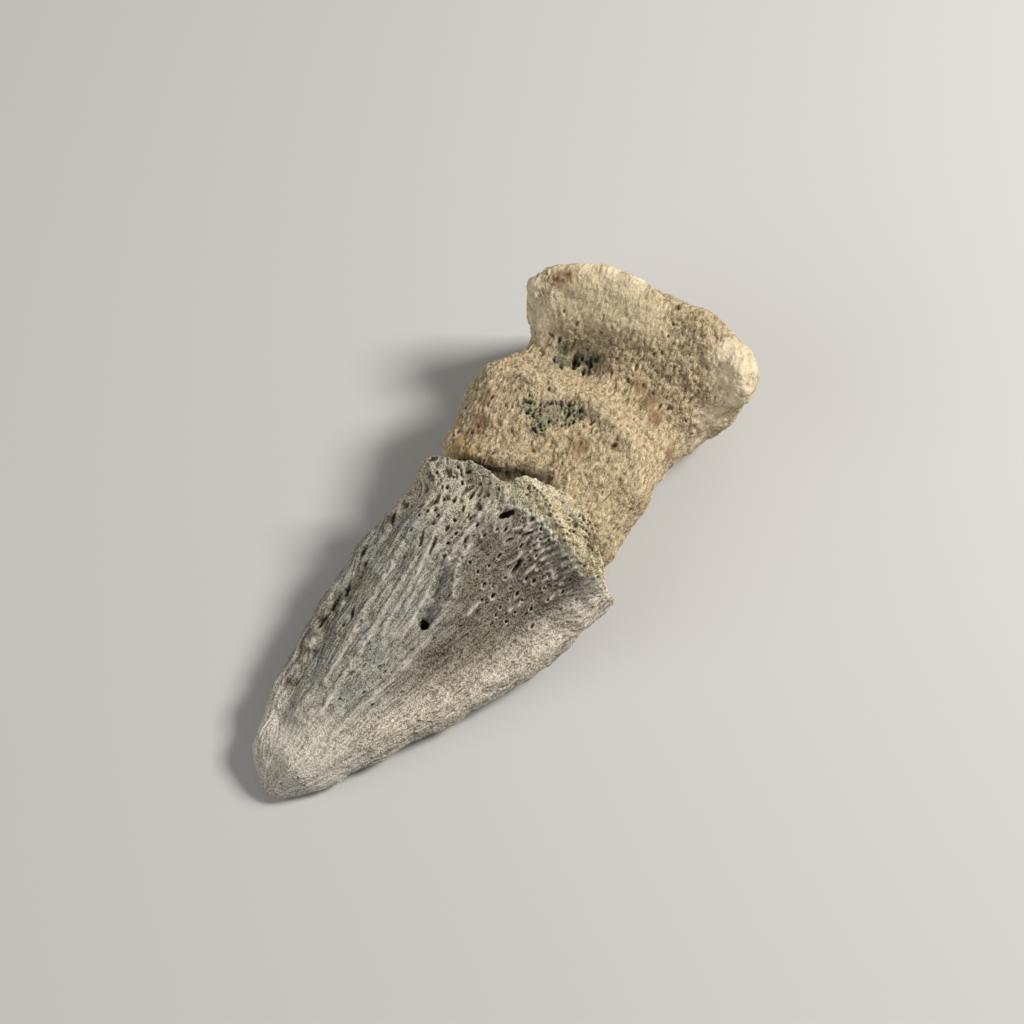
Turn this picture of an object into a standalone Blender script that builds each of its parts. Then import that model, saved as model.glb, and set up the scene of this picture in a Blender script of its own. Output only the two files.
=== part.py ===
"""A fossil dinosaur claw: the hoof-shaped claw bone and the toe bone that still sits in its socket.

The pair lies on its flat underside. X runs across the toe, Y along it with the claw's tip towards -Y,
and Z is up. Sizes below are millimetres in a drawing frame whose Y = 0 is the claw's socket; the last
step moves both bones so that the origin is the middle of the footprint, on the surface they rest on.
"""

import bmesh
import bpy
import numpy as np
from mathutils import Vector, noise

MM = 0.001

# Driving dimensions
CLAW_TIP_Y = -80.8
RIM_START_Y = -26.0
HEEL_REACH = 2.5
HEEL_START_Y = -12.0
CONDYLE_CENTRE_Y = 13.0
CONDYLE_DEPTH = 15.0
TOE_BACK_Y = 63.5
BACK_BULGE = 3.2
BACK_HOLLOW = 2.6
SETBACK_START_Y = 45.0
JOINT_GAP = 0.7
SOLE_TRIM = 0.7

# How the claw's tip rounds off: over this length, to this share less of its section, with a bulging end
TIP_LENGTH = 5.0
TIP_ROUNDING = 0.20
TIP_BULGE = 0.9

# How far the claw's ridge spreads to its left and right, as a share of the half-width
CREST_SPREAD = (0.72, 0.50)

# Shares of the toe bone's lattice spent on the condyle and on the back edge, the angle at which the condyle's
# front begins, and how much narrower the back face is than the flare before it
CONDYLE_SHARE = 0.30
BACK_EDGE_SHARE = 0.10
CONDYLE_START_ANGLE = 38.0
BACK_FACE_INSET = 0.13

# Mesh density: steps across, up and along each bone, and the triangles kept in the end
CLAW_STEPS = (44, 14, 84)
TOE_STEPS = (36, 20, 62)
CLAW_TRIANGLES = 5600
TOE_TRIANGLES = 3900

# Claw sections from tip to socket, each at its Y: left and right edge X, ridge X, ridge Z,
# left and right Z of the widest level, plantar arch, left and right shoulder height as a share of the ridge,
# and boxiness of the left, upper right and lower right
CLAW_SECTIONS = [
    (-81.0, -16.8, -8.6, -12.5, 5.4, 3.0, 2.8, 0.9, 0.90, 0.88, 2.6, 2.6, 2.4),
    (-79.0, -19.2, -6.4, -12.3, 7.6, 3.6, 3.2, 0.4, 0.86, 0.80, 2.7, 2.7, 2.4),
    (-75.0, -22.0, -3.8, -11.8, 10.0, 5.0, 3.8, 0.0, 0.80, 0.72, 2.8, 2.8, 2.5),
    (-68.0, -24.6, -0.2, -11.0, 12.4, 6.6, 4.4, 0.5, 0.74, 0.62, 3.0, 3.0, 2.5),
    (-58.0, -27.1, 5.0, -10.0, 15.2, 8.6, 5.0, 1.6, 0.68, 0.54, 3.2, 3.2, 2.6),
    (-45.0, -29.4, 11.2, -8.8, 18.6, 10.0, 5.6, 2.2, 0.66, 0.50, 3.2, 3.2, 2.6),
    (-32.0, -30.4, 17.2, -7.6, 22.2, 11.2, 6.4, 2.0, 0.66, 0.52, 3.2, 3.1, 2.5),
    (-20.0, -30.8, 21.8, -6.4, 26.2, 12.4, 8.0, 1.0, 0.70, 0.62, 3.4, 3.0, 2.2),
    (-11.0, -28.9, 24.4, -4.6, 30.0, 14.0, 11.4, 0.0, 0.78, 0.76, 3.8, 2.8, 1.8),
    (-5.0, -28.0, 26.4, -2.4, 33.0, 16.0, 15.0, 0.2, 0.86, 0.86, 4.4, 2.6, 1.5),
    (0.0, -29.0, 28.6, 0.5, 35.4, 18.0, 18.0, 0.9, 0.90, 0.90, 4.8, 2.5, 1.4),
]

# How far the socket's upper rim reaches back over the joint, at each X
RIM_REACH = [
    (-28.0, 0.0),
    (-21.0, 2.0),
    (-10.5, 4.0),
    (-6.4, 3.2),
    (-2.0, 7.0),
    (3.0, 9.3),
    (7.5, 9.8),
    (12.5, 9.2),
    (17.5, 7.2),
    (21.0, 5.2),
    (24.5, 2.6),
    (28.0, 0.0),
]

# Toe bone sections from the joint to the back end, each at its Y: left edge X low and high on the bone,
# right edge X low and high, top Z, underside Z, and boxiness
TOE_SECTIONS = [
    (13.0, -28.0, -31.8, 20.0, 20.0, 31.0, 1.8, 2.7),
    (21.0, -29.5, -33.8, 20.0, 20.0, 33.0, 2.6, 2.8),
    (30.0, -29.5, -34.0, 18.4, 19.4, 33.6, 5.0, 2.8),
    (37.0, -28.0, -32.0, 17.4, 18.6, 31.8, 7.0, 2.6),
    (43.0, -26.5, -30.0, 17.4, 19.4, 30.6, 6.4, 2.7),
    (49.0, -28.6, -32.2, 18.2, 22.2, 32.6, 4.0, 3.2),
    (55.0, -31.0, -36.2, 18.4, 25.4, 36.6, 0.8, 3.8),
    (59.5, -31.5, -37.2, 18.6, 28.4, 39.6, -0.4, 4.2),
    (63.5, -30.0, -36.0, 18.4, 28.8, 40.8, 1.0, 4.2),
]

# How far the back edge stands forward of its middle, at each X
BACK_SETBACK = [
    (-36.0, -8.0),
    (-30.0, -5.0),
    (-24.0, -2.0),
    (-16.0, -0.6),
    (-7.0, 0.2),
    (6.0, 1.6),
    (16.0, 0.6),
    (23.0, -2.2),
    (29.0, -5.4),
]

# What is drawn on each bone. A stroke is a path of X and Y, its half-width, and its height, which is below 0
# for a groove. Hollows share their radii along X, Y and Z and their depth, which is below 0 for a knob.
# Lumps are their size, their height and a seed.
CLAW_FEATURES = {
    "strokes on top": {
        "left groove": (
            [(-24.5, -7.0), (-26.0, -20.0), (-25.4, -36.0), (-22.8, -54.0), (-19.5, -66.0)],
            2.6,
            -2.0,
        ),
        "right margin": (
            [(24.5, -5.0), (21.5, -14.0), (15.6, -29.0), (7.2, -45.0), (-2.6, -63.0), (-8.6, -75.0)],
            2.4,
            1.1,
        ),
        "left fibre": ([(-12.6, -4.0), (-15.6, -24.0), (-16.9, -44.0), (-16.3, -66.0)], 0.9, 0.55),
        "middle fibre": ([(-9.0, -4.0), (-12.0, -24.0), (-14.0, -44.0), (-14.5, -66.0)], 0.9, 0.55),
        "right fibre": ([(-5.6, -4.0), (-8.6, -24.0), (-11.3, -44.0), (-12.8, -66.0)], 0.9, 0.55),
        "vessel channel": ([(-6.8, -21.0), (-5.6, -26.5), (-4.6, -30.5)], 1.5, -1.5),
        "rim step": (
            [(-1.0, 6.0), (3.7, 5.3), (9.8, 3.6), (14.9, 1.7), (18.3, -1.0), (22.6, -0.6)],
            2.2,
            1.1,
        ),
    },
    "strokes below": {
        "sole arch": ([(-6.0, -26.0), (-9.0, -44.0), (-11.5, -60.0)], 8.0, -1.6),
    },
    "hollows": {
        "behind the right margin": ([(12.0, -13.0, 22.0)], (8.5, 13.0, 14.0), 2.6),
        "middle of the right side": ([(3.0, -34.0, 18.0)], (7.0, 12.0, 10.0), 0.9),
        "vessel hole": ([(-4.5, -31.2, 18.5)], (1.5, 1.5, 6.0), 3.2),
        "hole below the rim": ([(-2.4, -1.6, 32.5)], (2.0, 1.2, 5.0), 2.4),
        "sunken rim": ([(-14.0, -1.0, 30.0)], (5.0, 4.0, 6.0), 1.6),
        "pores": (
            [
                (-9.5, -4.5, 29.0),
                (-6.5, -7.5, 29.0),
                (-11.5, -8.5, 29.0),
                (-4.0, -11.0, 29.0),
                (-13.0, -13.0, 29.0),
                (4.5, -9.5, 29.0),
                (9.0, -13.0, 29.0),
            ],
            (1.2, 1.6, 9.0),
            1.3,
        ),
        "heel knob": ([(-3.0, -9.0, 1.0)], (9.0, 4.0, 6.0), -1.4),
        "sole vessel holes": ([(-18.0, -15.0, 0.5), (10.0, -15.0, 0.5)], (2.6, 3.4, 5.0), 1.9),
    },
    "lumps": [(9.0, 0.7, 3.1), (3.4, 0.28, 7.7)],
}
TOE_FEATURES = {
    "strokes on top": {
        "joint edge": (
            [(-26.0, 27.0), (-15.0, 32.5), (-6.0, 34.0), (4.0, 33.0), (12.0, 29.5), (17.0, 23.0)],
            2.6,
            1.3,
        ),
        "joint groove": ([(-4.5, -2.0), (-4.5, 14.0), (-4.5, 24.0)], 6.0, -0.9),
    },
    "strokes below": {
        "tendon groove": ([(-5.0, 10.0), (-5.0, 30.0), (-5.0, 58.0)], 6.5, -1.8),
    },
    "hollows": {
        "upper pit": ([(-14.0, 43.5, 31.0)], (6.0, 4.2, 7.0), 3.4),
        "lower pit": ([(-9.0, 27.0, 33.0)], (6.5, 3.4, 7.0), 1.5),
        "waist hollow": ([(2.0, 44.0, 31.0)], (9.0, 6.0, 8.0), 1.2),
        "ligament pits": ([(-30.0, 17.0, 17.0), (20.0, 17.0, 17.0)], (6.0, 5.5, 5.5), 2.2),
        "chipped upper corner": ([(-30.0, 62.0, 40.5)], (4.5, 4.0, 4.0), 2.0),
        "chipped lower corner": ([(27.0, 66.0, 8.0)], (5.0, 5.0, 6.0), 1.6),
        "back joint face": ([(-4.0, 68.0, 21.0)], (16.0, 6.0, 11.0), 1.4),
    },
    "lumps": [(8.0, 0.8, 5.3), (3.2, 0.32, 1.9)],
}
TOP = 1
UNDERSIDE = -1

BONE_GREY = (0.205, 0.190, 0.165, 1.0)
BONE_TAN = (0.430, 0.345, 0.225, 1.0)


def clear_scene():
    for item in list(bpy.data.objects):
        bpy.data.objects.remove(item, do_unlink=True)


def along(sections, column, y):
    """A section value at each y, on a smooth curve through the listed ones."""
    ys = np.array([row[0] for row in sections])
    values = np.array([row[column] for row in sections])
    slopes = np.gradient(values, ys)
    y = np.clip(y, ys[0], ys[-1])
    k = np.clip(np.searchsorted(ys, y) - 1, 0, len(ys) - 2)
    span = ys[k + 1] - ys[k]
    t = (y - ys[k]) / span
    start = (1 + 2 * t) * (1 - t) ** 2 * values[k] + t * (1 - t) ** 2 * span * slopes[k]
    end = t**2 * (3 - 2 * t) * values[k + 1] + t**2 * (t - 1) * span * slopes[k + 1]
    return start + end


def smooth_step(value, low, high):
    t = np.clip((value - low) / (high - low), 0, 1)
    return t * t * (3 - 2 * t)


def box_lattice(steps):
    """A closed box of quads, and for each of its points the place across, along and up it, from -1 to 1."""
    bm = bmesh.new()
    bmesh.ops.create_cube(bm, size=2)
    for axis, count in ((0, steps[0]), (2, steps[1]), (1, steps[2])):
        edges = [e for e in bm.edges if abs(e.verts[0].co[axis] - e.verts[1].co[axis]) > 0.5]
        bmesh.ops.subdivide_edges(bm, edges=edges, cuts=count - 1)
    bm.verts.ensure_lookup_table()
    return bm, np.array([v.co for v in bm.verts])


def rounded(across, up, boxiness):
    """Directions on a square turned into points of a rounded outline, with how far out each point lies."""
    out = np.maximum(np.abs(across), np.abs(up))
    safe = np.maximum(out, 1e-9)
    a, c = across / safe, up / safe
    reach = (np.abs(a) ** boxiness + np.abs(c) ** boxiness) ** (1 / boxiness)
    return a / reach, c / reach, out


def place(bm, points):
    for vertex, point in zip(bm.verts, points):
        vertex.co = point
    bm.normal_update()


def surface_normals(bm, points):
    place(bm, points)
    return np.array([v.normal for v in bm.verts])


def path_distance(points, path):
    """Distance in plan from each point to a line drawn through the listed ones."""
    best = np.full(len(points), 1e9)
    for start, end in zip(path[:-1], path[1:]):
        start, run = np.array(start), np.subtract(end, start)
        t = np.clip((points[:, :2] - start) @ run / (run @ run), 0, 1)
        gap = points[:, :2] - start - t[:, None] * run
        best = np.minimum(best, np.hypot(gap[:, 0], gap[:, 1]))
    return best


def stroke(bm, points, path, width, height, face):
    """A ridge (height above 0) or a groove (below 0) along a path, on the top or on the underside."""
    normals = surface_normals(bm, points)
    weight = np.exp(-((path_distance(points, path) / width) ** 2))
    weight *= smooth_step(face * normals[:, 2], 0.0, 0.5)
    return points + normals * (height * weight)[:, None]


def dent(bm, points, centre, radii, depth):
    """A soft hollow (depth above 0) or a knob (below 0) around a point, with a radius along each axis."""
    normals = surface_normals(bm, points)
    gap = (points - np.array(centre)) / np.array(radii)
    weight = np.exp(-((gap**2).sum(axis=1)))
    return points - normals * (depth * weight)[:, None]


def lumpy(bm, points, size, height, seed):
    """Uneven bone surface: rounded lumps of one size."""
    normals = surface_normals(bm, points)
    shift = Vector((seed, 2.7 * seed, -1.3 * seed))
    lift = [noise.fractal(Vector(p) / size + shift, 1.0, 2.0, 3) for p in points]
    return points + normals * (height * np.array(lift))[:, None]


def claw_form(lattice):
    """The claw's smooth body: a low ridge runs down its back to a blunt, rounded tip."""
    across, length, up = lattice.T
    share = (length + 1) / 2
    y = CLAW_TIP_Y * (1 - share)
    columns = [along(CLAW_SECTIONS, column, y) for column in range(1, 13)]
    left, right, ridge_x, ridge_z, low_left, low_right, arch, shoulder_left, shoulder_right = columns[:9]
    boxiness = np.where(across < 0, columns[9], np.where(up < 0, columns[11], columns[10]))
    x_part, z_part, out = rounded(across, up, boxiness)
    reach = out * (1 - TIP_ROUNDING * (1 - smooth_step(y, CLAW_TIP_Y, CLAW_TIP_Y + TIP_LENGTH)))
    middle, half = (left + right) / 2, (right - left) / 2
    side = x_part * reach
    x = middle + half * side
    level = low_left + (low_right - low_left) * (side + 1) / 2
    ridge_side = (ridge_x - middle) / half
    on_left = side < ridge_side
    crest = np.exp(-(((side - ridge_side) / np.where(on_left, *CREST_SPREAD)) ** 2))
    shoulder = np.where(on_left, shoulder_left, shoulder_right)
    ridge_level = low_left + (low_right - low_left) * (ridge_side + 1) / 2
    rise = (ridge_z - ridge_level) * (shoulder + (1 - shoulder) * crest)
    drop = level - arch
    z = level + z_part * reach * np.where(z_part > 0, rise, drop)
    y = y - TIP_BULGE * (1 - out**2) * (share == 0)
    upper = smooth_step(z_part * out, 0.0, 0.6)
    lower = smooth_step(-z_part * out, 0.3, 0.9)
    y = y + along(RIM_REACH, 1, x) * upper * smooth_step(y, RIM_START_Y, 0.0)
    y = y + HEEL_REACH * lower * smooth_step(y, HEEL_START_Y, 0.0)
    return np.stack([x, y, z], axis=1)


def toe_form(lattice):
    """The toe bone's smooth body: a rounded condyle, a narrow waist and a flared back end."""
    across, length, up = lattice.T
    front, back = CONDYLE_SHARE, BACK_EDGE_SHARE
    share = (length + 1) / 2
    turn = np.clip(share / front, 0, 1)
    front_scale = np.sin(np.radians(CONDYLE_START_ANGLE + (90.0 - CONDYLE_START_ANGLE) * turn))
    body_share = np.clip((share - front) / (1 - front - back), 0, 1)
    edge = np.clip((share - (1 - back)) / back, 0, 1)
    body_y = CONDYLE_CENTRE_Y + (TOE_BACK_Y - CONDYLE_CENTRE_Y) * body_share
    left_low, left_high, right_low, right_high, top, low, boxiness = (
        along(TOE_SECTIONS, column, body_y) for column in range(1, 8)
    )
    x_part, z_part, out = rounded(across, up, boxiness)
    reach = front_scale * (1 - BACK_FACE_INSET * (1 - np.cos(edge * np.pi / 2))) * out
    height = (z_part * reach + 1) / 2
    left = left_low + (left_high - left_low) * height
    right = right_low + (right_high - right_low) * height
    x = (left + right) / 2 + (right - left) / 2 * x_part * reach
    z = (top + low) / 2 + (top - low) / 2 * z_part * reach
    front_y = CONDYLE_CENTRE_Y - CONDYLE_DEPTH * np.sqrt(np.maximum(1 - reach**2, 0))
    back_y = TOE_BACK_Y + BACK_BULGE * np.sin(edge * np.pi / 2) - BACK_HOLLOW * (1 - out**2) * (edge >= 1)
    y = np.where(share < front, front_y, np.where(edge > 0, back_y, body_y))
    y = y + along(BACK_SETBACK, 1, x) * smooth_step(y, SETBACK_START_Y, TOE_BACK_Y)
    return np.stack([x, y, z], axis=1)


def sculpt(bm, points, features):
    """Draws one bone's ridges, grooves and hollows, then the unevenness of its whole surface."""
    for path, width, height in features["strokes on top"].values():
        points = stroke(bm, points, path, width, height, TOP)
    for path, width, height in features["strokes below"].values():
        points = stroke(bm, points, path, width, height, UNDERSIDE)
    for centres, radii, depth in features["hollows"].values():
        for centre in centres:
            points = dent(bm, points, centre, radii, depth)
    for size, height, seed in features["lumps"]:
        points = lumpy(bm, points, size, height, seed)
    return points


def worn_sole(p):
    """The lowest bumps worn to one level, which the fossil rests on."""
    return np.column_stack([p[:, :2], np.maximum(p[:, 2], SOLE_TRIM)])


def bone_material(name, colour):
    material = bpy.data.materials.new(name)
    material.use_nodes = True
    shader = material.node_tree.nodes["Principled BSDF"]
    shader.inputs["Base Color"].default_value = colour
    shader.inputs["Roughness"].default_value = 0.85
    shader.inputs["Metallic"].default_value = 0.0
    return material


def bone_object(name, bm, points, colour):
    place(bm, points * MM)
    bmesh.ops.recalc_face_normals(bm, faces=bm.faces)
    mesh = bpy.data.meshes.new(name)
    bm.to_mesh(mesh)
    mesh.shade_smooth()
    mesh.materials.append(bone_material(name, colour))
    item = bpy.data.objects.new(name, mesh)
    bpy.context.scene.collection.objects.link(item)
    return item


def as_cutter(item):
    item.hide_render = True
    item.display_type = "WIRE"
    return item


def cut(item, cutter, name):
    modifier = item.modifiers.new(name, "BOOLEAN")
    modifier.operation = "DIFFERENCE"
    modifier.object = cutter


def thin_out(item, triangles):
    """Keeps about this many triangles, most of them where the surface bends."""
    graph = bpy.context.evaluated_depsgraph_get()
    made = item.evaluated_get(graph).to_mesh()
    made.calc_loop_triangles()
    modifier = item.modifiers.new("thin out", "DECIMATE")
    modifier.ratio = min(1.0, triangles / len(made.loop_triangles))


def build_toe():
    bm, lattice = box_lattice(TOE_STEPS)
    points = worn_sole(sculpt(bm, toe_form(lattice), TOE_FEATURES))
    toe = bone_object("toe_bone", bm, points, BONE_TAN)
    swollen = points + surface_normals(bm, points) * JOINT_GAP
    cutter = as_cutter(bone_object("socket_cutter", bm, swollen, BONE_TAN))
    bm.free()
    return toe, cutter


def build_claw():
    bm, lattice = box_lattice(CLAW_STEPS)
    points = worn_sole(sculpt(bm, claw_form(lattice), CLAW_FEATURES))
    claw = bone_object("claw", bm, points, BONE_GREY)
    bm.free()
    return claw


def footprint_middle(bones):
    """The middle of the bones' box in plan, at its lowest level."""
    graph = bpy.context.evaluated_depsgraph_get()
    corners = []
    for bone in bones:
        made = bone.evaluated_get(graph)
        corners += [made.matrix_world @ v.co for v in made.data.vertices]
    low = Vector(min(c[i] for c in corners) for i in range(3))
    high = Vector(max(c[i] for c in corners) for i in range(3))
    return Vector(((low.x + high.x) / 2, (low.y + high.y) / 2, low.z))


def main():
    clear_scene()
    toe, socket = build_toe()
    claw = build_claw()
    cut(claw, socket, "socket")
    thin_out(claw, CLAW_TRIANGLES)
    thin_out(toe, TOE_TRIANGLES)
    bpy.context.view_layer.update()
    holder = bpy.data.objects.new("fossil_claw", None)
    bpy.context.scene.collection.objects.link(holder)
    middle = footprint_middle((claw, toe))
    for item in (claw, toe, socket):
        item.parent = holder
    holder.location = -middle
    bpy.context.view_layer.update()


main()
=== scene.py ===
"""Looks of the fossil dinosaur claw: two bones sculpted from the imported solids, on a pale floor.

Lengths in the sculpting functions are millimetres, and Blender's own sizes stay metres. A place
that was read off the photograph is a pixel of its 1024 by 1024 frame, cast onto the bone from
the photograph's camera.
"""

import itertools
import math

import bpy
import numpy as np
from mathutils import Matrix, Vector, kdtree
from mathutils.bvhtree import BVHTree


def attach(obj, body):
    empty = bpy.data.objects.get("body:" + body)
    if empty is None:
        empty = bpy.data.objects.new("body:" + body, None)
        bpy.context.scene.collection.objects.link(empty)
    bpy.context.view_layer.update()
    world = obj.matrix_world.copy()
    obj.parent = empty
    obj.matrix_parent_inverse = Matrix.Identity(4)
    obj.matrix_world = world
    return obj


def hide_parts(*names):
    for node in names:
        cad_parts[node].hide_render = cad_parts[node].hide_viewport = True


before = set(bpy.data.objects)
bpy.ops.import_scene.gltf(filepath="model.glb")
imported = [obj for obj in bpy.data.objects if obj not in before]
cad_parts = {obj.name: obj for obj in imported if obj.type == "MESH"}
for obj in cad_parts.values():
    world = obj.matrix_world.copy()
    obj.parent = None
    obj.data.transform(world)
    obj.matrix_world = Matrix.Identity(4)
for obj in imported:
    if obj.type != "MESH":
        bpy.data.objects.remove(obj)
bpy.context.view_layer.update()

bl_info = {
    "name": "Fossil Dinosaur Claw",
    "version": (1, 0, 0),
    "blender": (4, 5, 0),
    "location": "3D View > Sidebar > Fossil Claw",
    "description": "Sculpts and colours a fossil claw bone and the toe bone in its socket",
    "category": "Object",
}

MM = 0.001
# A finished bone's triangles, and the fewest faces that a bone can be sculpted with
MOST_TRIANGLES = 196000
FEWEST_FACES = 1000
# A distance that stands for none found, and one that is as good as no distance
FAR = 1e9
TINY = 1e-6
# Layers of the sculpted noise, and how rough the shaders' noise is
NOISE_LAYERS = 3
NOISE_ROUGHNESS = 0.6

# The photograph's camera
PHOTO_SIDE = 1024
CAMERA_AZIMUTH = math.radians(36.0)
CAMERA_ELEVATION = math.radians(62.0)
CAMERA_AIM = Vector((-0.0032, 0.0131, 0.0143))
CAMERA_DISTANCE = 0.585
CAMERA_LENS = 85.0
CAMERA_SENSOR = 36.0
# Millimetres to a pixel at the camera's aim
PIXEL = CAMERA_DISTANCE * CAMERA_SENSOR / CAMERA_LENS / PHOTO_SIDE / MM

# What both materials share: the finest noise, the weight in the tone of painted shade in low places
# and painted light on raised ones, and the bump
SPECKLE_SCALE = 3400.0
RELIEF_SHADE_WEIGHT = 0.62
BUMP_STRENGTH = 0.8
# Lights: direction along the camera's right, up and back, then distance, width and colour
SKY_COLOUR = (1.0, 0.985, 0.955)
KEY_LIGHT = ((0.71, 0.46, 0.53), 1.0, 0.28, (1.0, 0.97, 0.92))
FILL_LIGHT = ((-0.75, 0.0, 0.65), 1.0, 0.80, SKY_COLOUR)

# Lines on the claw, as pixels of the photograph
RIM_EDGE = [
    (427, 462), (440, 458), (468, 468), (490, 474), (501, 478), (520, 479), (545, 484), (560, 496),
    (572, 508), (585, 522), (592, 538), (600, 556), (607, 575), (609, 592),
]
RIM_SEAM = [
    (470, 510), (484, 505), (496, 505), (507, 501), (528, 513), (538, 517), (547, 525), (554, 534),
    (561, 543), (567, 552), (573, 562), (584, 572), (597, 584), (606, 594),
]
SOFT_SEAM = RIM_SEAM[3:]
LEFT_GROOVE = [(396, 517), (372, 552), (345, 600), (318, 640), (300, 680), (288, 712)]
RIGHT_MARGIN = [(603, 598), (570, 634), (500, 680), (430, 713), (350, 752), (306, 778)]
BAND_GREY = [(520, 498), (527, 504), (515, 490), (507, 503)]
RIGHT_RIM = [(603, 555), (608, 571), (611, 582)]
RIM_LIP = [(537, 516), (545, 523), (550, 531), (554, 539)]
CHANNEL_RIDGE = [
    (492, 521), (480, 530), (472, 543), (463, 554), (457, 566), (454, 582), (453, 597),
]
HOLLOW_MIDDLE = [(568, 575), (540, 590), (505, 600), (480, 625)]
HOLLOW_AREA = [
    (520, 530), (545, 550), (560, 575), (535, 590), (505, 600), (520, 560), (478, 625), (500, 545),
    (480, 590), (545, 605), (510, 635), (470, 650), (442, 668), (495, 655), (525, 625), (490, 610),
    (470, 670),
]

# Raised and sunken lines on the claw: pixels, then half width and height in millimetres
CLAW_STROKES = (
    (RIM_LIP, 0.5, 0.70),
    ([(504, 506), (511, 502)], 1.5, 0.6),
    (HOLLOW_MIDDLE, 6.0, -0.5),
    (LEFT_GROOVE, 2.0, 0.5),
    ([(438, 580), (434, 597), (429, 612), (424, 626)], 1.3, -1.0),
    ([(453, 596), (446, 606), (439, 618), (431, 629)], 0.5, 0.45),
    ([(497, 522), (488, 528), (477, 537), (466, 549)], 1.0, -0.9),
    ([(505, 492), (490, 503), (478, 517), (466, 531), (455, 547), (448, 564)], 0.6, 0.65),
    (CHANNEL_RIDGE, 0.5, 0.65),
    ([(446, 510), (438, 530), (427, 550), (413, 578), (398, 606), (382, 634)], 0.6, 0.5),
    ([(438, 545), (425, 570), (410, 600), (398, 622), (380, 650)], 0.5, 0.45),
    ([(448, 560), (438, 572), (425, 596), (412, 620), (398, 642), (372, 672)], 0.5, 0.5),
    ([(428, 640), (405, 664), (380, 690), (350, 720), (322, 746)], 0.6, 0.4),
    ([(415, 560), (398, 588), (380, 618), (362, 646), (340, 682), (318, 716)], 0.5, 0.5),
    ([(402, 545), (385, 575), (365, 610), (345, 645), (325, 682)], 0.6, 0.55),
    (RIGHT_MARGIN, 1.2, 0.35),
    ([(518, 480), (540, 484), (557, 496), (572, 510), (584, 524)], 0.9, 0.45),
    ([(533, 486), (545, 497), (553, 512), (560, 524), (566, 540)], 0.6, 0.45),
)
# How far the right rim is pushed to the left, and how strong the painted highlight on the thin
# raised ridges is
RIM_PUSH = 1.7
RIDGE_HIGHLIGHT = 0.42
# Short raised threads that fan out of the rim's seam into the hollow, each with a painted highlight
SEAM_THREADS = (
    [(538, 520), (524, 529)], [(545, 527), (523, 541)], [(551, 532), (531, 545)],
    [(555, 538), (536, 549)], [(558, 543), (533, 557)], [(563, 549), (541, 560)],
    [(567, 554), (535, 571)], [(571, 560), (545, 573)], [(576, 567), (552, 578)],
    [(528, 523), (513, 531)], [(540, 526), (526, 533)], [(548, 538), (530, 552)],
    [(565, 565), (543, 581)], [(582, 575), (560, 584)], [(590, 580), (566, 594)],
    [(522, 552), (508, 564)], [(478, 603), (466, 615)], [(520, 603), (508, 612)],
    [(560, 590), (545, 602)], [(534, 566), (520, 578)],
)

# Long holes of the claw: start and end pixel, width in pixels and depth in millimetres
CLAW_SLOTS = (
    ((500, 517), (511, 513), 6, 2.0), ((550, 540), (541, 546), 2.5, 0.8),
    ((522, 560), (513, 572), 4, 1.3), ((468, 536), (464, 546), 5, 1.0),
    ((534, 517), (531, 521), 4, 1.0), ((511, 539), (507, 542), 4, 1.0),
    ((534, 531), (523, 536), 4, 1.0), ((477, 503), (482, 511), 6, 1.0),
    ((424, 532), (418, 548), 5, 0.8), ((438, 533), (430, 553), 4, 0.8),
    ((349, 584), (346, 597), 6, 0.8), ((339, 599), (331, 610), 6, 0.8),
    ((353, 608), (352, 617), 4, 0.8), ((327, 617), (318, 628), 5, 0.8),
    ((394, 511), (391, 524), 5, 0.8), ((365, 546), (361, 556), 5, 0.8),
)
# Holes of the claw: pixel X and Y, then length and width in pixels
VESSEL_HOLE = [(424, 626, 12, 10)]
RIM_HOLES = [
    (471, 496, 9, 5), (454, 500, 8, 5), (463, 509, 8, 4), (487, 494, 6, 5), (470, 518, 6, 4),
    (447, 487, 6, 4), (455, 520, 5, 4), (468, 472, 8, 4), (480, 484, 5, 4), (458, 467, 5, 3),
    (443, 499, 5, 3), (442, 487, 4, 3), (435, 509, 6, 3), (427, 511, 5, 3), (438, 515, 5, 3),
    (433, 523, 6, 4), (447, 528, 7, 3), (419, 515, 4, 3), (437, 473, 4, 3), (430, 484, 4, 3),
    (462, 483, 5, 3), (453, 477, 4, 3), (490, 483, 4, 3), (498, 488, 4, 3), (448, 543, 6, 3),
    (456, 533, 6, 3), (444, 556, 5, 3), (411, 530, 5, 3), (424, 500, 5, 3), (477, 525, 5, 3),
]
HOLLOW_HOLES = [
    (499, 556, 6, 3), (497, 529, 5, 2.5), (506, 529, 7, 3), (484, 535, 5, 3), (541, 529, 4, 3),
    (540, 539, 4, 3), (484, 585, 6, 3), (493, 585, 5, 2.5), (505, 578, 4, 3), (526, 579, 5, 3),
    (534, 581, 5, 3), (550, 576, 6, 2.5), (493, 596, 6, 3.5), (517, 594, 6, 3), (482, 600, 4, 2.5),
    (496, 615, 4, 2.5), (500, 608, 4, 2.5), (506, 622, 4, 3), (532, 626, 6, 3), (531, 609, 4, 2.5),
    (522, 600, 3, 2), (549, 540, 5, 2.5), (521, 546, 5, 2), (536, 556, 5, 2.5), (548, 600, 5, 2.5),
    (562, 592, 5, 2.5), (478, 572, 4, 3), (462, 558, 5, 3), (515, 612, 4, 2), (570, 580, 5, 2),
    (470, 562, 4, 3), (457, 577, 4, 2.5), (510, 589, 3, 2), (489, 566, 4, 2.5), (544, 588, 4, 2),
]
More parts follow.
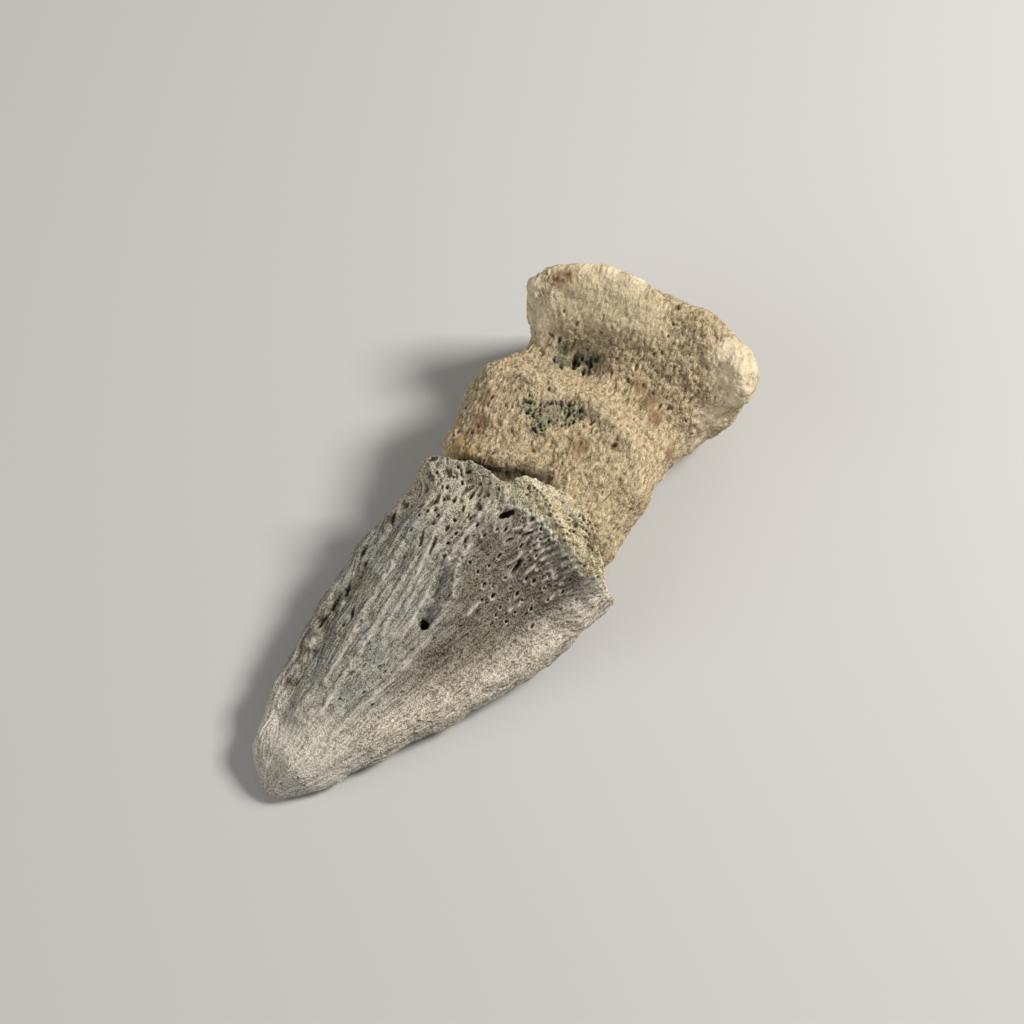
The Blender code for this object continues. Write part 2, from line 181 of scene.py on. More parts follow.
BAND_HOLES = [
    (534, 488, 3, 3), (537, 491, 3, 3), (541, 493, 3, 3), (543, 497, 3, 3), (546, 501, 4, 3),
    (550, 506, 3, 3), (553, 511, 4, 3), (557, 517, 4, 3), (559, 522, 3, 3), (561, 528, 4, 3),
    (563, 535, 4, 3), (565, 541, 3, 3), (550, 515, 6, 5), (576, 525, 7, 5), (574, 532, 4, 3),
    (581, 523, 3, 3), (584, 520, 3, 3), (587, 525, 3, 3), (590, 523, 3, 3), (586, 531, 3, 3),
    (589, 534, 3, 3), (583, 529, 3, 3), (592, 529, 3, 3), (585, 537, 3, 3), (579, 516, 4, 3),
    (570, 531, 3, 3), (567, 534, 3, 3), (569, 520, 3, 3), (527, 495, 5, 3), (499, 490, 3, 3),
    (592, 549, 5, 3), (588, 546, 4, 3), (580, 563, 3, 3), (584, 566, 3, 3), (598, 577, 3, 3),
    (605, 590, 4, 3),
]
MIDDLE_HOLES = [
    (363, 666, 6, 3), (379, 667, 6, 3), (352, 673, 7, 3), (385, 672, 4, 2.5), (363, 693, 6, 3),
    (402, 666, 4, 2.5), (361, 621, 4, 3), (344, 625, 5, 3), (369, 643, 4, 2.5), (298, 778, 3, 3),
    (281, 784, 3, 3), (372, 705, 4, 2.5), (401, 535, 3, 3), (404, 557, 4, 2.5), (419, 515, 4, 3),
    (366, 564, 4, 3), (340, 699, 4, 2.5), (455, 665, 3, 2),
]
# The way that the hollow's holes lean
HOLE_LEAN = ((540, 570), (528, 586))
# Each list of holes, its depth in the settings' hole depths, and its lip's height in millimetres
CLAW_HOLES = (
    (VESSEL_HOLE, 2.6, 0.0), (RIM_HOLES, 1.3, 0.12), (HOLLOW_HOLES, 1.2, 0.28),
    (BAND_HOLES, 0.9, 0.06), (MIDDLE_HOLES, 0.8, 0.06),
)
# Soil and pale grains: pixel X and Y, then radius in millimetres
SOIL_SPOTS = (
    (392, 519, 1.5), (363, 551, 1.6), (366, 564, 0.9), (349, 590, 1.6), (341, 598, 1.7),
    (334, 609, 1.6), (324, 622, 2.0), (312, 636, 1.8), (308, 650, 1.5), (352, 613, 1.0),
    (290, 681, 1.4), (297, 682, 1.2), (301, 667, 1.2), (404, 505, 1.0),
)
PALE_GRAINS = (
    (343, 604, 0.6), (340, 609, 0.5), (313, 641, 0.7), (310, 646, 0.5), (297, 667, 0.6),
    (348, 617, 0.5),
)

# Raised and sunken lines on the toe bone, given as the claw's are
JOINT_RIDGE = [(520, 391), (545, 388), (567, 389), (585, 398), (598, 413), (613, 431), (630, 446)]
TOE_STROKES = (
    ([(500, 376), (530, 366), (560, 368), (590, 382), (618, 404), (645, 425)], 3.4, -0.7),
    (JOINT_RIDGE, 1.2, 0.30),
    ([(598, 398), (612, 416), (625, 436)], 3.0, 0.9),
    ([(535, 418), (560, 422)], 4.5, 0.5),
    ([(562, 296), (590, 300), (618, 308), (645, 322)], 5.0, 0.7),
    ([(562, 318), (590, 324), (618, 328), (648, 338)], 4.0, 1.1),
    ([(540, 298), (541, 318)], 4.0, 1.3),
    ([(744, 362), (749, 378), (744, 394)], 4.5, 1.5),
    ([(463, 465), (480, 468), (500, 474), (522, 475), (545, 481)], 2.0, -1.5),
    ([(574, 352), (586, 362), (592, 372)], 2.2, -0.8),
)
# Long and round pits of the toe bone, given as the claw's holes are
TOE_SLOTS = (
    ((575, 358), (574, 370), 6, 1.2), ((583, 369), (583, 375), 4, 1.1),
    ((591, 363), (590, 367), 5, 1.2), ((596, 359), (594, 362), 4, 0.9),
    ((583, 357), (582, 360), 4, 0.9), ((579, 362), (578, 367), 3, 0.9),
    ((566, 346), (564, 358), 8, 0.5), ((560, 338), (559, 342), 4, 0.8),
    ((553, 358), (555, 362), 4, 0.9), ((560, 364), (562, 368), 4, 0.9),
    ((548, 376), (552, 379), 4, 0.8), ((549, 333), (553, 336), 4, 0.8),
    ((525, 401), (532, 402), 5, 1.2), ((525, 410), (528, 413), 4, 1.0),
    ((541, 407), (539, 411), 3, 0.9), ((569, 402), (568, 407), 4, 1.0),
    ((569, 412), (567, 417), 4, 1.0), ((581, 408), (579, 413), 4, 1.1),
    ((582, 416), (579, 419), 4, 1.0), ((532, 428), (536, 432), 4, 1.0),
    ((541, 423), (538, 427), 4, 0.9), ((563, 424), (561, 427), 3, 0.9),
    ((552, 402), (550, 404), 3, 0.9), ((574, 420), (572, 424), 3, 0.9),
    ((600, 331), (602, 334), 4, 0.6), ((595, 421), (590, 424), 4, 0.7),
    ((616, 444), (611, 448), 4, 0.8), ((625, 515), (617, 523), 4, 0.7),
    ((617, 524), (613, 531), 4, 0.7), ((694, 395), (687, 405), 4, 0.6),
    ((671, 404), (667, 411), 4, 0.6), ((662, 404), (657, 411), 4, 0.6),
    ((638, 363), (635, 370), 4, 0.6), ((568, 274), (563, 276), 4, 0.5),
    ((558, 278), (553, 280), 4, 0.5),
)
TOE_HOLES = [
    (533, 451, 4, 4), (577, 324, 6, 4), (602, 333, 5, 4), (603, 316, 4, 3), (564, 311, 4, 3),
    (606, 302, 2, 2), (617, 359, 5, 4), (612, 373, 4, 3), (628, 380, 6, 3), (654, 355, 5, 4),
    (662, 353, 5, 4), (674, 367, 5, 3), (662, 376, 7, 3), (643, 385, 5, 3), (668, 336, 4, 3),
    (673, 324, 4, 3), (677, 308, 8, 5), (653, 393, 5, 3), (634, 419, 6, 3), (627, 425, 5, 4),
    (621, 425, 5, 3), (492, 397, 6, 4), (466, 408, 4, 3), (478, 426, 6, 4), (472, 432, 5, 4),
    (459, 448, 5, 4), (473, 433, 4, 3), (458, 432, 4, 3), (486, 436, 3, 3), (592, 366, 4, 3),
    (529, 395, 4, 3), (549, 389, 4, 3), (581, 443, 4, 3), (552, 479, 4, 3), (505, 404, 5, 3),
    (512, 407, 4, 3),
]
# Middles of the toe bone's dark, smooth and pale places, and its line of painted shade, with some
# dirt, under the claw's rim. The upper shade is painted shade; the pale edges are worn and also
# lightened as painted light
LOWER_PATCH = [
    (528, 404), (534, 412), (545, 406), (556, 408), (568, 409), (578, 413), (540, 420), (552, 419),
    (536, 428), (567, 420),
]
PATCH_MIDDLE = [(552, 409), (557, 413)]
UPPER_PIT = [(563, 351), (562, 361), (571, 364), (580, 360), (589, 362), (596, 361), (586, 373)]
PALE_RIDGE = [(568, 373), (583, 386), (597, 409), (611, 426)]
UPPER_SHADE = [(556, 345), (572, 340), (590, 345), (603, 350), (560, 365), (577, 352)]
PLATEAU = [(570, 300), (590, 293), (610, 300), (590, 312), (625, 300), (640, 312)]
# Worn edges, also lightened as painted light where they turn from the lamp
WORN_EDGE_AND_PAINTED_LIGHT = [
    (532, 285), (530, 300), (530, 318), (542, 312), (545, 326), (560, 268), (590, 265), (612, 270),
    (640, 280), (742, 352), (752, 368), (748, 385), (738, 402), (720, 418), (700, 438),
]
# Worn corner, also lightened as painted light
WORN_CORNER_AND_PAINTED_LIGHT = [(730, 352), (742, 368), (740, 385), (730, 400), (716, 414), (725, 375)]
# Painted shade, with some dirt, along the gap under the claw's overhanging rim
JOINT_SHADE_AND_DIRT = [(463, 464), (480, 468), (500, 474), (524, 476), (545, 481), (562, 492), (576, 506)]
DEEP_SHADE_AND_DIRT = JOINT_SHADE_AND_DIRT[:4]
# Stains of the toe bone: pixel X and Y, then radius in millimetres
BROWN_STAINS = (
    (560, 276, 2.6), (566, 276, 2.2), (480, 425, 2.2), (474, 432, 2.4), (614, 446, 1.4),
    (671, 453, 2.2), (533, 451, 0.9), (649, 400, 2.4), (640, 385, 1.8), (655, 418, 2.0),
    (580, 446, 2.6), (486, 398, 2.0),
)
YELLOW_STAINS = ((457, 447, 2.2), (461, 440, 2.0), (470, 452, 2.4), (456, 425, 2.0))

# Axes of the toe bone's grains, which run a little askew
GRAIN_TURN = np.array([[0.97, 0.24, 0.0], [-0.24, 0.97, 0.0], [0.0, 0.0, 1.0]])
# Small holes strewn over each bone
CLAW_PORES = 420
TOE_PITS = 240


def camera_axes():
    """The camera's right and up, and the direction from its aim back to it."""
    level = math.cos(CAMERA_ELEVATION)
    back = Vector((
        math.sin(CAMERA_AZIMUTH) * level,
        -math.cos(CAMERA_AZIMUTH) * level,
        math.sin(CAMERA_ELEVATION),
    ))
    right = Vector((math.cos(CAMERA_AZIMUTH), math.sin(CAMERA_AZIMUTH), 0.0))
    return right, back.cross(right), back


def photo_ray(pixel):
    """Where the photograph's camera stands, in metres, and the way in which it sees a pixel."""
    right, up, back = camera_axes()
    step = CAMERA_SENSOR / CAMERA_LENS / PHOTO_SIDE
    x = (pixel[0] - PHOTO_SIDE / 2) * step
    y = (pixel[1] - PHOTO_SIDE / 2) * step
    return CAMERA_AIM + back * CAMERA_DISTANCE, (right * x - up * y - back).normalized()


def smooth_step(value, low, high):
    """0 below a low value, 1 above a high one, and a smooth change between them."""
    share = np.clip((value - low) / (high - low), 0, 1)
    return share * share * (3 - 2 * share)


def bell(distance, radius):
    """1 at no distance, falling off softly about a radius away."""
    return np.exp(-((distance / radius) ** 2))


def gradient_noise(points, seed):
    """Smooth noise from about -1 to 1, with one bump to a unit of length."""
    rng = np.random.default_rng(seed)
    shuffled = rng.permutation(256)
    slopes = rng.normal(size=(256, 3))
    slopes /= np.linalg.norm(slopes, axis=1)[:, None]
    cell = np.floor(points).astype(int)
    inside = points - cell
    ease = inside**3 * (inside * (inside * 6 - 15) + 10)
    total = np.zeros(len(points))
    for corner in itertools.product((0, 1), repeat=3):
        key = shuffled[(cell[:, 0] + corner[0]) % 256]
        key = shuffled[(key + cell[:, 1] + corner[1]) % 256]
        key = shuffled[(key + cell[:, 2] + corner[2]) % 256]
        weight = np.where(corner, ease, 1 - ease).prod(axis=1)
        total += weight * (slopes[key] * (inside - corner)).sum(axis=1)
    return 1.6 * total


def layered_noise(points, seed):
    """Noise with finer and weaker noise upon it."""
    shares = 0.5 ** np.arange(NOISE_LAYERS)
    layers = [s * gradient_noise(points * 2**k, seed + k) for k, s in enumerate(shares)]
    return sum(layers) / shares.sum()


def sharp_ridges(points, seed):
    """Thin ridges of height 1, on the lines where a smooth noise changes sign."""
    return 1 - np.clip(2.4 * np.abs(gradient_noise(points, seed)), 0, 1)


def warped(points, size, amount, seed):
    """Points moved about by smooth noise, so that an even pattern on them turns uneven."""
    shift = np.column_stack([gradient_noise(points / size, seed + k) for k in range(3)])
    return points + amount * shift


def cells(points, seed):
    """Distances to the two nearest middles of an uneven pattern of cells, and a number per cell."""
    rng = np.random.default_rng(seed)
    shuffled = rng.permutation(256)
    places = rng.random((256, 3))
    chance = rng.random(256)
    cell = np.floor(points).astype(int)
    nearest = np.full(len(points), FAR)
    second = np.full(len(points), FAR)
    owner = np.zeros(len(points), int)
    for shift in itertools.product((-1, 0, 1), repeat=3):
        other = cell + shift
        key = shuffled[other[:, 0] % 256]
        key = shuffled[(key + other[:, 1]) % 256]
        key = shuffled[(key + other[:, 2]) % 256]
        gap = np.linalg.norm(points - other - places[key], axis=1)
        second = np.minimum(second, np.maximum(nearest, gap))
        owner = np.where(gap < nearest, key, owner)
        nearest = np.minimum(nearest, gap)
    return nearest, second, chance[owner]


def sponge(points, share, seed, wall=0.1):
    """Holes of depth 1 between thin walls, in a share of the cells of an uneven pattern."""
    nearest, second, chance = cells(points, seed)
    depth = smooth_step(1.6 * (second - nearest), wall, wall + 0.75)
    return depth * smooth_step(share - chance, 0, 0.2)


def grains(points, seed):
    """Separate rounded grains of uneven height, up to 1."""
    nearest, _, chance = cells(points, seed)
    return np.clip(1 - (nearest / 0.75) ** 2, 0, 1) * (0.35 + 0.65 * chance)


def line_distance(points, places):
    """Distance of every point to the line through some places."""
    best = np.full(len(points), FAR)
    for start, end in zip(places[:-1], places[1:]):
        run = end - start
        share = np.clip((points - start) @ run / max(run @ run, TINY), 0, 1)
        best = np.minimum(best, np.linalg.norm(points - start - share[:, None] * run, axis=1))
    return best


def fine_copy(node, voxel):
    """A smooth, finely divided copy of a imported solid, ready for sculpting."""
    bpy.ops.object.select_all(action="DESELECT")
    bone = bpy.data.objects.new(node + "_fossil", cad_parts[node].data.copy())
    bpy.context.scene.collection.objects.link(bone)
    bpy.context.view_layer.objects.active = bone
    bone.select_set(True)
    bpy.ops.object.mode_set(mode="EDIT")
    bpy.ops.mesh.select_all(action="SELECT")
    bpy.ops.mesh.remove_doubles(threshold=TINY)
    bpy.ops.object.mode_set(mode="OBJECT")
    grid = bone.modifiers.new("even grid", "REMESH")
    grid.mode = "VOXEL"
    grid.voxel_size = voxel
    bpy.ops.object.modifier_apply(modifier=grid.name)
    soft = bone.modifiers.new("soften the facets", "SMOOTH")
    soft.factor = 0.5
    soft.iterations = 30
    bpy.ops.object.modifier_apply(modifier=soft.name)
    if len(bone.data.polygons) < FEWEST_FACES:
        raise RuntimeError(f"{node} has no fine mesh to sculpt")
    return bone


def thin_out(bone):
    """Merges triangles where the bone is smooth, down to the count of a finished bone."""
    bpy.ops.object.mode_set(mode="EDIT")
    bpy.ops.mesh.select_all(action="SELECT")
    bpy.ops.mesh.quads_convert_to_tris()
    bpy.ops.object.mode_set(mode="OBJECT")
    share = MOST_TRIANGLES / len(bone.data.polygons)
    if share < 1:
        thinner = bone.modifiers.new("thin out", "DECIMATE")
        thinner.ratio = share
        bpy.ops.object.modifier_apply(modifier=thinner.name)


class Surface:
    """A bone while it is sculpted: its points in millimetres, their normals and their lifts."""

    # How far a line of sight may pass the bone, and how far gaps are measured
    MISS = 3.0
    REACH = 6.0
    # The gaps to the other bone between which the joint's smooth bone ends
    JOINT_GAPS = (0.9, 2.0)
    # Rounds of averaging that the height of relief is measured against
    RELIEF_ROUNDS = 40

    def __init__(self, bone, seed):
        self.bone = bone
        self.seed = seed
        self.read()
        self.ridge = np.zeros(len(self.points))

    def read(self):
        """Takes the bone's points and normals, and starts with nothing lifted."""
        mesh = self.bone.data
        count = len(mesh.vertices)
        points = np.zeros(count * 3)
        normals = np.zeros(count * 3, np.float32)
        mesh.vertices.foreach_get("co", points)
        mesh.vertex_normals.foreach_get("vector", normals)
        edges = np.zeros(len(mesh.edges) * 2, int)
        mesh.edges.foreach_get("vertices", edges)
        self.edges = edges.reshape(-1, 2).T
        self.points = points.reshape(-1, 3) / MM
        self.normals = normals.reshape(-1, 3).astype(float)
        self.lift = np.zeros(count)
        self.pits = np.zeros(count)
        self.lip_highlights = np.zeros(count)
        self.tree = BVHTree.FromObject(self.bone, bpy.context.evaluated_depsgraph_get())
        self.places = kdtree.KDTree(count)
        for index, point in enumerate(self.points):
            self.places.insert(point, index)
        self.places.balance()
        self.rough = gradient_noise(self.points / 0.7, self.seed)

    def write(self):
        """Moves every point along its normal by its lift and its pits, but not into the floor."""
        moved = (self.points + self.normals * (self.lift + self.pits)[:, None]) * MM
        moved[:, 2] = np.maximum(moved[:, 2], 0.0)
        self.bone.data.vertices.foreach_set("co", moved.astype(np.float32).ravel())
        self.bone.data.update()

    def smoothed(self, values, rounds):
        """Values averaged with their neighbours' a number of times."""
        one, two = self.edges
        count = len(values)
        degree = np.bincount(one, minlength=count) + np.bincount(two, minlength=count)
        for _ in range(rounds):
            total = np.bincount(one, values[two], count) + np.bincount(two, values[one], count)
            values = total / np.maximum(degree, 1)
        return values

    def facing_up(self):
        """1 on the upper side of the bone and 0 below."""
        return smooth_step(self.normals[:, 2], -0.1, 0.5)

    def soften(self, shares, rounds):
        """Draws points to the average of their surroundings, by a share of the way."""
        level = np.column_stack([self.smoothed(column, rounds) for column in self.points.T])
        self.points += shares[:, None] * (level - self.points)

    def relief(self, height):
        """How far each point stands above or below its surroundings, with 0.5 for level; the
        materials use it for painted shade in low places and painted light on raised ones.
        """
        total = self.lift + self.pits
        level = self.smoothed(total, self.RELIEF_ROUNDS)
        return np.clip(0.5 + 0.5 * (total - level) / height, 0, 1)

    def at(self, pixel):
        """The point of the bone that the photograph shows at a pixel, or the one nearest to it."""
        start, direction = photo_ray(pixel)
        place, _, _, _ = self.tree.ray_cast(start, direction)
        if place is not None:
            return np.array(place) / MM
        offset = self.points - np.array(start) / MM
        gap = np.linalg.norm(np.cross(offset, np.array(direction)), axis=1)
        if gap.min() > self.MISS:
            raise RuntimeError(f"the photograph's pixel {pixel} misses {self.bone.name}")
        return self.points[np.argmin(gap)]

    def inside(self, places, margin):
        """The numbers of the points in a box around some places."""
        low, high = places.min(axis=0) - margin, places.max(axis=0) + margin
        return np.flatnonzero(((self.points > low) & (self.points < high)).all(axis=1))

    def from_line(self, pixels):
        """Distance of every point to the line through some pixels."""
        return line_distance(self.points, [self.at(pixel) for pixel in pixels])

    def stroke(self, pixels, radius, height, highlight=0.0):
        """A raised or sunken line through some pixels. A thin one is uneven, and may carry a
        painted highlight.
        """
        places = np.array([self.at(pixel) for pixel in pixels])
        near = self.inside(places, 3 * radius)
        points = self.points[near]
        gap = line_distance(warped(points, size=2.4, amount=0.45, seed=26), places)
        uneven = 1 + min(0.3 / radius, 0.7) * gradient_noise(points / 1.3, 27)
        line = bell(gap, radius) * uneven
        self.lift[near] += height * line
        self.ridge[near] = np.maximum(self.ridge[near], highlight * line)

    def around(self, pixels, radius):
        """Soft spots around some pixels, 1 in their middles."""
        best = np.full(len(self.points), FAR)
        for pixel in pixels:
            best = np.minimum(best, np.linalg.norm(self.points - self.at(pixel), axis=1))
        return bell(best, radius)

    def spots(self, rows):
        """Soft spots, each given by its pixel and its radius."""
        best = np.zeros(len(self.points))
        for x, y, radius in rows:
            best = np.maximum(best, self.around([(x, y)], radius))
        return best

    def slot(self, start, end, width, depth):
        """A long hole between two pixels, its width in pixels too."""
        width = width * PIXEL
        length = math.dist(start, end) * PIXEL + 0.8 * width
        middle = self.at(((start[0] + end[0]) / 2, (start[1] + end[1]) / 2))
        self.pit(middle, self.at(end) - self.at(start), length, width, depth, lip=0.12)

    def pit(self, centre, along, length, width, depth, lip):
        """An oval pit, with a raised lip around it, whose mask is kept for a painted highlight."""
        found = self.places.find_range(centre, max(length, width))
        near = np.array([index for _, index, _ in found], int)
        if len(near) == 0:
            return
        offset = self.points[near] - centre
        normal = self.normals[near[np.argmin(np.linalg.norm(offset, axis=1))]]
        along = along - normal * (along @ normal)
        along = along / max(np.linalg.norm(along), TINY)
        across = np.cross(normal, along)
        away = np.hypot(offset @ along / (length / 2), offset @ across / (width / 2))
        away *= 1 + 0.4 * self.rough[near]
        self.pits[near] = np.minimum(self.pits[near], -depth * smooth_step(1.2 - away, 0, 0.9))
        edge = bell(away - 1.5, 0.35)
        edge *= 0.3 + 0.7 * smooth_step(offset @ along / length, -0.2, 0.5)
        self.lift[near] += lip * edge
        # The lip's mask, stronger toward one end, is kept for a painted highlight
        self.lip_highlights[near] = np.maximum(self.lip_highlights[near], min(4 * lip, 1) * edge)

    def pits_at(self, rows, directions, depth, lip):
        """Oval pits, each given by its pixel and its length and width in pixels."""
        for x, y, length, width in rows:
            centre = self.at((x, y))
            self.pit(centre, directions(centre[None])[0], length * PIXEL, width * PIXEL, depth, lip)

    def scatter(self, count, weights, seed):
        """Points chosen at random, more of them where the weights are higher."""
        rng = np.random.default_rng(seed)
        chosen = rng.choice(len(weights), size=count, replace=False, p=weights / weights.sum())
        return chosen, rng

    def in_joint(self, node):
        """1 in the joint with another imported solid, and 0 where the bone lies open."""
        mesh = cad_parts[node].data
        corners = np.array([v.co for v in mesh.vertices])
        solid = BVHTree.FromPolygons(corners, [p.vertices for p in mesh.polygons])
        gaps = np.full(len(self.points), self.REACH)
        for index in self.inside(corners / MM, self.REACH):
            _, _, _, gap = solid.find_nearest(Vector(self.points[index]) * MM, self.REACH * MM)
            if gap is not None:
                gaps[index] = gap / MM
        near, far = self.JOINT_GAPS
        return smooth_step(-gaps, -far, -near)

    def keep(self, **masks):
        """Stores numbers or vectors with the bone's points, for its material."""
        for name, values in masks.items():
            kind, key = ("FLOAT", "value") if values.ndim == 1 else ("FLOAT_VECTOR", "vector")
            attribute = self.bone.data.attributes.new(name, kind, "POINT")
            attribute.data.foreach_set(key, values.astype(np.float32).ravel())


class FibreMap:
    """Where points lie among the claw's fibres, which draw together from the socket to the tip."""

    STEP = 2.0
    RADIUS = 28.0
    # Height of the bundle's middle, as a share of the claw's
    MIDDLE_SHARE = 0.35
    # Turn of the fibres about the claw's length, in radians, at two places along it
    TWIST = ((-75.0, 9.0), (0.12, -0.15))

    def __init__(self, points):
        x, y, z = points.T
        rows = np.arange(y.min(), y.max(), self.STEP)
        limits = []
        for row in rows:
            inside = np.abs(y - row) < self.STEP
            limits.append((x[inside].min(), x[inside].max(), z[inside].max()))
        left, right, self.top = np.array(limits).T
        self.rows, self.middle, self.half = rows, (left + right) / 2, (right - left) / 2

    def place(self, points):
        """Each point's place on a straight round bundle of fibres: two across it, one along it."""
        x, y, z = points.T
        middle = np.interp(y, self.rows, self.middle)
        half = np.interp(y, self.rows, self.half)
        top = np.interp(y, self.rows, self.top)
        floor = self.MIDDLE_SHARE * top
        angle = np.arctan2((z - floor) / (top - floor), (x - middle) / half)
        turned = angle + np.interp(y, *self.TWIST)
        return np.column_stack([self.RADIUS * np.cos(turned), self.RADIUS * np.sin(turned), y])

    def direction(self, points):
        """The way that the fibres run at each point."""
        ahead = 3.0
        x, y, _ = points.T
        side = (x - np.interp(y, self.rows, self.middle)) / np.interp(y, self.rows, self.half)
        far = np.interp(y + ahead, self.rows, self.middle)
        far += side * np.interp(y + ahead, self.rows, self.half)
        return np.column_stack([far - x, np.full(len(x), ahead), np.zeros(len(x))])


def add_node(tree, kind, inputs=None, **settings):
    """Adds a shader node. Each input is a value, or the output of another node."""
    node = tree.nodes.new("ShaderNode" + kind)
    for name, value in settings.items():
        setattr(node, name, value)
    for key, value in (inputs or {}).items():
        if isinstance(value, bpy.types.NodeSocket):
            tree.links.new(value, node.inputs[key])
        else:
            node.inputs[key].default_value = value
    return node


def mix_colour(tree, share, first, second):
    return add_node(tree, "Mix", {0: share, 6: first, 7: second}, data_type="RGBA").outputs[2]


def calculate(tree, operation, *values):
    return add_node(tree, "Math", dict(enumerate(values)), operation=operation).outputs[0]


def rescale(tree, value, low, high, to_low=0.0, to_high=1.0):
    ends = {"From Min": low, "From Max": high, "To Min": to_low, "To Max": to_high}
    return add_node(tree, "MapRange", {"Value": value, **ends}).outputs[0]


def attribute_value(tree, name):
    return add_node(tree, "Attribute", attribute_name=name).outputs["Fac"]


def noise_value(tree, vector, scale, detail):
    inputs = {"Vector": vector, "Scale": scale, "Detail": detail, "Roughness": NOISE_ROUGHNESS}
    return add_node(tree, "TexNoise", inputs).outputs["Fac"]


def stretched_noise(tree, vector, scale, detail):
    place = add_node(tree, "Mapping", {"Vector": vector, "Scale": scale}).outputs[0]
    return noise_value(tree, place, 1.0, detail)


def thin_lines(tree, vector, scale, detail, width):
    """Lines of value 1 where a stretched noise passes its middle value."""
    noise = stretched_noise(tree, vector, scale, detail)
    away = calculate(tree, "ABSOLUTE", calculate(tree, "SUBTRACT", noise, 0.5))
    return rescale(tree, away, 0.0, width, 1.0, 0.0)


def blend_tones(tree, *rows):
    """Adds up values that vary about 0.5, each with its weight."""
    total = 0.5
    for value, weight in rows:
        part = calculate(tree, "MULTIPLY", calculate(tree, "SUBTRACT", value, 0.5), weight)
        total = calculate(tree, "ADD", total, part)
    return rescale(tree, total, 0.0, 1.0)


def new_material(name):
    material = bpy.data.materials.new(name)
    material.use_nodes = True
    tree = material.node_tree
    shader = tree.nodes["Principled BSDF"]
    shader.inputs["Metallic"].default_value = 0.0
    shader.inputs["Specular IOR Level"].default_value = 0.3
    return material, tree, shader


def zone_colour(tree, settings, zone, tone):
    """A zone's dark and light colour in the settings, mixed by the tone."""
    dark, light = (getattr(settings, zone + end) for end in ("_dark", "_light"))
    return mix_colour(tree, tone, dark, light)


def add_zones(tree, settings, tone, colour, zones):
    """Lays the colours of zones over a colour, each where the attribute of its name says."""
    for zone in zones:
        above = zone_colour(tree, settings, zone, tone)
        colour = mix_colour(tree, attribute_value(tree, zone), colour, above)
    return colour


def add_stains(tree, colour, stains):
    """Lays even colours over a colour, each where the attribute of its name says."""
    for name, stain in stains.items():
        colour = mix_colour(tree, attribute_value(tree, name), colour, stain)
    return colour


def finish_material(tree, shader, colour, roughness, height, bump):
    """Joins a colour, a roughness and the height of a bump, in metres, to the shader."""
    inputs = {"Height": height, "Strength": BUMP_STRENGTH, "Distance": bump}
    tree.links.new(colour, shader.inputs["Base Color"])
    tree.links.new(roughness, shader.inputs["Roughness"])
    tree.links.new(add_node(tree, "Bump", inputs).outputs[0], shader.inputs["Normal"])


def claw_material(settings):
    """Grey fibrous bone, with a yellow spongy rim, a dark hollow, soil in its groove, holes with
    painted shade in them, painted shade in its low places and painted highlights on its raised
    places and thin ridges.
    """
    material, tree, shader = new_material("claw fossil bone")
    place = add_node(tree, "TexCoord").outputs["Object"]
    fibres = add_node(tree, "Attribute", attribute_name="fibres").outputs["Vector"]
    strands = thin_lines(tree, fibres, (1.4, 1.4, 0.08), detail=2.0, width=1 / 7)
    hairs = stretched_noise(tree, fibres, (3.0, 3.0, 0.22), 1.0)
    streaks = stretched_noise(tree, fibres, (0.5, 0.5, 0.05), 2.0)
    speckle = noise_value(tree, place, SPECKLE_SCALE, 1.0)
    grains = noise_value(tree, place, 1500.0, 2.0)
    blotches = noise_value(tree, place, 170.0, 3.0)
    patches = noise_value(tree, place, 420.0, 2.0)
    strand_weight = rescale(tree, attribute_value(tree, "bare"), 0.0, 1.0, 0.45, 0.1)
    # The relief attribute darkens low places and lightens raised ones: painted shade and painted
    # light
    tone = blend_tones(
        tree, (attribute_value(tree, "relief"), RELIEF_SHADE_WEIGHT), (strands, strand_weight),
        (hairs, 0.8), (speckle, 3.1), (grains, 1.3), (patches, 0.6), (streaks, 1.0),
    )
    colour = zone_colour(tree, settings, "grey", tone)
    cool = rescale(tree, blotches, 0.47, 0.60, 0.0, 0.6)
    colour = mix_colour(tree, cool, colour, zone_colour(tree, settings, "cool", tone))
    colour = add_zones(tree, settings, tone, colour, ("hollow", "pale", "warm", "rim", "band"))
    # Pale thin lines where the threads attribute says: painted highlights of threads near the seam
    threads = thin_lines(tree, fibres, (1.1, 1.1, 0.14), detail=1.0, width=0.06)
    threads = calculate(tree, "MULTIPLY", threads, attribute_value(tree, "threads"))
    # Painted highlights: thin ridges, seam threads, the seam's crest and the lips of the hollow's
    # holes are mixed toward the pale colour
    ridge = calculate(tree, "MAXIMUM", attribute_value(tree, "ridge"), threads)
    ridge = calculate(tree, "MULTIPLY", ridge, rescale(tree, tone, 0.0, 1.0, 0.5, 0.85))
    colour = mix_colour(tree, ridge, colour, settings.pale_light)
    colour = add_zones(tree, settings, tone, colour, ("soil",))
    # The pit attribute lays painted shade in the holes
    colour = add_stains(tree, colour, {"grain": settings.pale_light, "pit": settings.hole_shade_colour})
    roughness = rescale(tree, grains, 0.3, 0.7, 0.75, 0.95)
    height = blend_tones(tree, (speckle, 1.0), (grains, 1.2), (strands, 0.2), (hairs, 0.6))
    finish_material(tree, shader, colour, roughness, height, 0.28 * MM)
    return material


